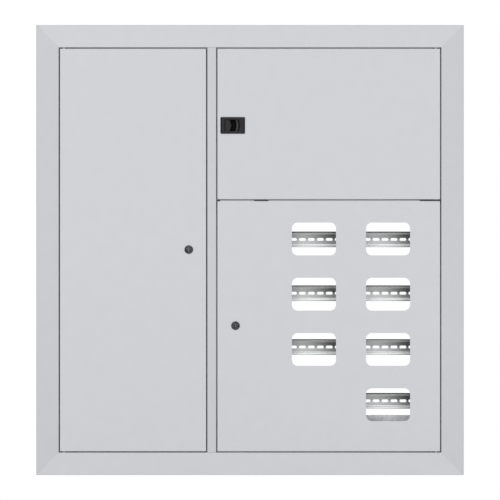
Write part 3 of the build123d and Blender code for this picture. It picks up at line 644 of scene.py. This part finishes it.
crossBolts = {
    "radius": 4.0 * mm,
    "height": 2.8 * mm,
    "washer": 5.0 * mm,
    "sheet": 1.5 * mm,
    "fromBack": 7.0 * mm,
    "fromPost": 18.5 * mm,
    "behindWeb": 18.5 * mm,
}
places = []
for node in ("lower_cross_rail", "upper_cross_rail"):
    lower, upper, centre = boxOf(node)
    y = upper.y - crossBolts["fromBack"]
    places.append(((lower.x + crossBolts["sheet"], y, centre.z), (1, 0, 0), 10))
    places.append(((upper.x - crossBolts["sheet"], y, centre.z), (-1, 0, 0), 25))
    places += [((post + side * crossBolts["fromPost"], webFace + crossBolts["behindWeb"], centre.z),
                forward, 5)
               for post in (postLeft, postMiddle, postRight) for side in (-1, 1)]
bolt = hexHead(crossBolts["radius"], crossBolts["height"], crossBolts["washer"])
piece("crossRailBolts", copied(bolt, places), "root", "plated_steel")

plateBolts = {
    "radius": 6.0 * mm,
    "height": 4.0 * mm,
    "washer": 8.0 * mm,
    "insetX": 12.0 * mm,
    "insetZ": 30.0 * mm,
    "middleZ": 20.0 * mm,
}
lower, upper, _ = boxOf("mounting_plate")
levels = lower.z + plateBolts["insetZ"], plateBolts["middleZ"], upper.z - plateBolts["insetZ"]
places = [((x, lower.y, z), forward, 14)
          for x in (lower.x + plateBolts["insetX"], upper.x - plateBolts["insetX"]) for z in levels]
bolt = hexHead(plateBolts["radius"], plateBolts["height"], plateBolts["washer"])
piece("plateBolts", copied(bolt, places), "root", "plated_steel")

studs = {
    "radius": 3.0 * mm,
    "pitch": 1.0 * mm,
    "depth": 0.55 * mm,
    "over": 0.05 * mm,
    "bare": 5.0 * mm,
    "short": 0.1 * mm,
}
# node, body, the thread's name, and the way that the stud points along Y
for node, body, name, way in (
    ("left_door_earth_stud", "left_door", "leftDoorStudThread", 1),
    ("lower_door_earth_stud", "lower_door", "lowerDoorStudThread", 1),
    ("upper_door_earth_stud", "upper_door", "upperDoorStudThread", 1),
    ("body_earth_stud", "root", "bodyStudThread", -1),
):
    lower, upper, centre = boxOf(node)
    y = lower.y + studs["bare"] if way > 0 else upper.y - studs["bare"]
    length = upper.y - lower.y - studs["bare"] - studs["short"]
    radius = studs["radius"] + studs["over"] + studs["depth"] / 2
    shape = thread(radius, length, studs["pitch"], studs["depth"])
    piece(name, copied(shape, [((centre.x, y, centre.z), (0, way, 0), 0)]), body, "terminal_brass")

barrels = {
    "radius": 8.0 * mm,
    "pitch": 1.5 * mm,
    "depth": 0.4 * mm,
    "rootShare": 0.35,
    "innerShare": 0.94,
    "short": 0.1 * mm,
    "steps": 36,
}
for side in ("left", "lower"):
    # a threaded sleeve round the barrel, behind its nut
    lower, upper, centre = boxOf(side + "_lock_barrel")
    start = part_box(side + "_lock_nut")[1].y + barrels["short"]
    height = threadHeights(upper.y - start - barrels["short"], barrels["pitch"])
    angle = circle(barrels["steps"])
    wave = crest(height, angle, barrels["pitch"]) - barrels["rootShare"]
    outer = sweptRound(barrels["radius"] + barrels["depth"] * wave, height, angle)
    inner = outer[::-1] * (barrels["innerShare"], barrels["innerShare"], 1)
    grid = np.concatenate([outer, inner])
    shape = grid.reshape(-1, 3), gridFaces(len(grid), barrels["steps"], closedRows=True)
    place = [((centre.x, start, centre.z), (0, 1, 0), 0)]
    piece(side + "BarrelThread", copied(shape, place), side + "_door", "dark_chrome")
print("bolts and threads")


dome = ((0.0, 1.0), (0.5, 0.98), (0.85, 0.85), (1.0, 0.6), (1.0, 0.0), (0.0, 0.0))


def roundedPlate(half, height, profile=dome, power=6.0, steps=28):
    # A pill outline: the superellipse |x/a|^n + |y/b|^n = 1. A profile gives the share of the outline and
    # of the height, from the middle of the top to the middle of the underside.
    angle = circle(steps)
    across, upward = abs(np.cos(angle) / half[0]), abs(np.sin(angle) / half[1])
    reach = (across ** power + upward ** power) ** (-1 / power)
    rings, level = np.array(profile).T
    x = rings[:, None] * reach * np.cos(angle)
    y = rings[:, None] * reach * np.sin(angle)
    points = np.stack([x, y, height * level[:, None] + 0 * x], -1).reshape(-1, 3)
    return points, gridFaces(len(rings), steps)


def facingFront(shape, x, y, z):
    # Lays a shape with its Y upwards and its top towards the front, with its middle at a place.
    points, faces = shape
    return np.stack([points[:, 0] + x, y - points[:, 2], points[:, 1] + z], -1), faces


lockFace = {
    "shutter": (0.85 * mm, 3.65 * mm),
    "shutterHeight": 0.3 * mm,
    "shutterDepth": 1.1 * mm,
    "bead": 6.6 * mm,
    "beadHalf": (0.45 * mm, 0.14 * mm),
}
shutterMetal = metal("keyShutter", (0.22, 0.22, 0.225), (0.15, 0.15, 0.155), 0.45, 500.0)
beadWidth, beadHeight = lockFace["beadHalf"]
profile = [(lockFace["bead"] + beadWidth * math.cos(a), beadHeight * math.sin(a)) for a in circle(12)]
bead = turned(profile, 40, closed=True)
shutter = roundedPlate(lockFace["shutter"], lockFace["shutterHeight"])
for side in ("left", "lower"):
    lower, upper, centre = boxOf(side + "_lock_plug")
    placed = facingFront(shutter, centre.x, lower.y + lockFace["shutterDepth"], centre.z)
    piece(side + "KeyShutter", placed, side + "_lock", "dark_chrome", shutterMetal)
    # a raised bead round the plug, on the head of the housing
    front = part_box(side + "_lock_barrel")[0].y
    place = [((centre.x, front + beadHeight, centre.z), forward, 0)]
    piece(side + "LockBead", copied(bead, place), side + "_door", "dark_chrome")
print("lock faces")

cornerBuffer = {
    "half": (2.9 * mm, 1.65 * mm),
    "proud": 0.35 * mm,
    "depth": 6.0 * mm,
    "above": 1.3 * mm,
    "nose": ((0.0, 1.0), (0.75, 1.0), (1.0, 0.96), (1.0, 0.0), (0.0, 0.0)),
}
# a near-black rubber buffer clipped over the upper left corner of the lower door, in the gap between the
# two doors; its dark also stands as painted shade in that corner of the gap
lower, upper, _ = boxOf("lower_door")
halfWidth, halfHeight = cornerBuffer["half"]
length = cornerBuffer["depth"] + cornerBuffer["proud"]
buffer = roundedPlate(cornerBuffer["half"], length, cornerBuffer["nose"])
placed = facingFront(buffer, lower.x + halfWidth, lower.y + cornerBuffer["depth"],
                     upper.z + cornerBuffer["above"] - halfHeight)
piece("cornerBuffer", placed, "lower_door", "buffer_rubber")
print("corner buffer")

spring = {
    "turns": 7.5,
    "radius": 1.85 * mm,
    "wire": 0.32 * mm,
    "steps": 26,
    "sides": 8,
    "closeEnds": 0.75,
}
lower, upper, centre = boxOf("latch_spring")
# A coil along X. Its advance is slow at both ends, so that the end turns lie nearly closed.
t = np.linspace(0, 1, int(spring["turns"] * spring["steps"]) + 1)
advance = t - spring["closeEnds"] * np.sin(2 * math.pi * t) / (2 * math.pi)
x = lower.x + spring["wire"] + advance * (upper.x - lower.x - 2 * spring["wire"])
turn = 2 * math.pi * spring["turns"] * t
radial = np.stack([0 * t, np.cos(turn), np.sin(turn)], -1)
line = spring["radius"] * radial + np.stack([x, centre.y + 0 * t, centre.z + 0 * t], -1)
along = np.gradient(line, axis=0)
along /= np.linalg.norm(along, axis=1)[:, None]
aside = np.cross(along, radial)
angle = circle(spring["sides"])[None, :, None]
wire = spring["wire"] * (np.cos(angle) * radial[:, None] + np.sin(angle) * aside[:, None])
caps = [np.repeat(line[end, None], spring["sides"], 1) for end in (slice(0, 1), slice(-1, None))]
grid = np.concatenate([caps[0], line[:, None] + wire, caps[1]])
shape = grid.reshape(-1, 3), gridFaces(len(grid), spring["sides"])
coil = piece("latchCoil", shape, None, "spring_steel")
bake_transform(coil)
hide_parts("latch_spring")

heel = {
    # x from the latch's middle and depth behind the door's face: a scoop that clears the paddle's heel
    "outline": ((-19.05, 0.3), (-18.7, 0.5), (-18.35, 1.6), (-17.7, 3.0), (-16.95, 4.6), (-16.95, 6.0),
                (-19.05, 6.0)),
    "halfHeight": 12.85 * mm,
}
outline = np.array(heel["outline"]) * mm
middle = outline.mean(0)
# rows: a cap's middle, the two end outlines, the other cap's middle
share = np.array((0.0, 1.0, 1.0, 0.0))[:, None, None]
ends = np.array((-1.0, -1.0, 1.0, 1.0))[:, None] * heel["halfHeight"]
ring = middle + share * (outline - middle)
grid = np.stack([ring[..., 0] + latch["x"], ring[..., 1] + faceY,
                 np.broadcast_to(ends + latch["z"], ring.shape[:2])], -1)
# the scoop's black plastic is lightened with painted light
piece("latchHeelScoop", (grid.reshape(-1, 3), gridFaces(len(grid), len(outline))), "upper_door",
      "black_plastic", latchPlastic("heelPaintedLight", latch["heel"], 0.03 * mm))

coverScrews = {"radius": 1.3 * mm, "height": 0.9 * mm, "insetX": 3.2 * mm, "insetZ": 1.35 * mm}
lower, upper, _ = boxOf("latch_cover")
places = [((x, upper.y, z), (0, 1, 0), 20 + 900 * x)
          for x in (lower.x + coverScrews["insetX"], upper.x - coverScrews["insetX"])
          for z in (upper.z - coverScrews["insetZ"], lower.z + coverScrews["insetZ"])]
small = crossHead(coverScrews["radius"], coverScrews["height"])
piece("latchCoverScrews", copied(small, places), "upper_door", "plated_steel")
print("latch")

knockouts = {
    "radii": (10.5 * mm, 14.5 * mm),
    "ridge": (0.7 * mm, 0.3 * mm),
    "xs": (20.0 * mm, 90.0 * mm, 182.25 * mm, 275.0 * mm, 345.0 * mm),
    "y": -85.0 * mm,
}


def pressedRing(radius):
    # A half-round ridge pressed in the sheet: a closed profile turned round, flat below
    width, height = knockouts["ridge"]
    arc = np.linspace(0, math.pi, 7)
    return turned([(radius + width * math.cos(a), height * math.sin(a)) for a in arc], 40, closed=True)


rings = joined(*(pressedRing(radius) for radius in knockouts["radii"]))
for node, name, up in (("top_wall", "topKnockouts", 1), ("bottom_wall", "bottomKnockouts", -1)):
    lower, upper, _ = boxOf(node)
    level = upper.z if up > 0 else lower.z
    places = [((x, knockouts["y"], level), (0, 0, up), 0) for x in knockouts["xs"]]
    piece(name, copied(rings, places), "root", "galvanised")
print("walls")

stage = {
    "level": -0.8,
    "half": 6.0,
    "solid": 1.3,
    "gone": 4.0,
    "roughness": 0.9,
    "whites": ((0.85, 0.85, 0.85), (0.87, 0.87, 0.87)),
    "worldLight": 0.45,
    "backdrop": 1.0,
}
# The floor is white and fades out with the distance from the middle, so that no edge of it shows.
white = Finish("stageWhite", stage["roughness"])
white.link("Base Color", white.mix(white.noise(2.0, 1.0), *stage["whites"]))
away = (white.x * white.x + white.y * white.y) ** 0.5
white.link("Alpha", 1.0 - away.step(stage["solid"], stage["gone"]))
half, level = stage["half"], stage["level"]
corners = [(-half, -half, level), (half, -half, level), (half, half, level), (-half, half, level)]
mesh = bpy.data.meshes.new("floor")
mesh.from_pydata(corners, [], [(0, 1, 2, 3)])
mesh.materials.append(white.material)
floor = bpy.data.objects.new("floor", mesh)
bpy.context.scene.collection.objects.link(floor)

world = bpy.data.worlds.new("studio")
bpy.context.scene.world = world
world.use_nodes = True
tree = world.node_tree
make = Signal(tree).node
# white where the camera, gloss or glass looks at the backdrop, and a dimmer light on the object
background = tree.nodes["Background"]
background.inputs["Color"].default_value = (1, 1, 1, 1)
background.inputs["Strength"].default_value = stage["worldLight"]
backdrop = make("ShaderNodeBackground", {}, {"Color": (1, 1, 1, 1), "Strength": stage["backdrop"]})
direct, glossy, through = (make("ShaderNodeLightPath", {}, {}, kind)
                           for kind in ("Is Camera Ray", "Is Glossy Ray", "Is Transmission Ray"))
sky = make("ShaderNodeMixShader", {}, {0: direct.largest(glossy).largest(through),
                                       1: Signal(tree, background.outputs[0]), 2: backdrop})
tree.links.new(sky.socket, tree.nodes["World Output"].inputs["Surface"])

lamps = {
    "key": {"at": (-2.2, -6.0, 1.7), "size": 3.0, "power": 134.0},
    "fill": {"at": (3.0, -6.0, -0.4), "size": 3.2, "power": 104.0},
    "rear": {"at": (0.4, 3.2, 1.6), "size": 2.4, "power": 40.0},
}
for name, lamp in lamps.items():
    # each square lamp looks at the middle of the scene
    light = bpy.data.lights.new(name, "AREA")
    light.shape = "SQUARE"
    light.size = lamp["size"]
    light.energy = lamp["power"]
    made = bpy.data.objects.new(name, light)
    made.location = lamp["at"]
    aim = -np.array(lamp["at"])
    made.rotation_euler = (math.acos(-aim[2] / np.linalg.norm(aim)), 0,
                           math.atan2(aim[1], aim[0]) - math.pi / 2)
    bpy.context.scene.collection.objects.link(made)

view = {"distance": 12.0, "fieldWidth": 1.1111, "sensor": 36.0, "clip": 100.0}
camera = bpy.data.cameras.new("camera")
camera.sensor_width = view["sensor"]
camera.lens = view["sensor"] * view["distance"] / view["fieldWidth"]
camera.clip_end = view["clip"]
eye = bpy.data.objects.new("camera", camera)
eye.location = (0, faceY - view["distance"], 0)
eye.rotation_euler = (math.pi / 2, 0, 0)
bpy.context.scene.collection.objects.link(eye)
bpy.context.scene.camera = eye
bpy.context.scene.view_settings.view_transform = "Standard"
print("stage, lamps and camera")
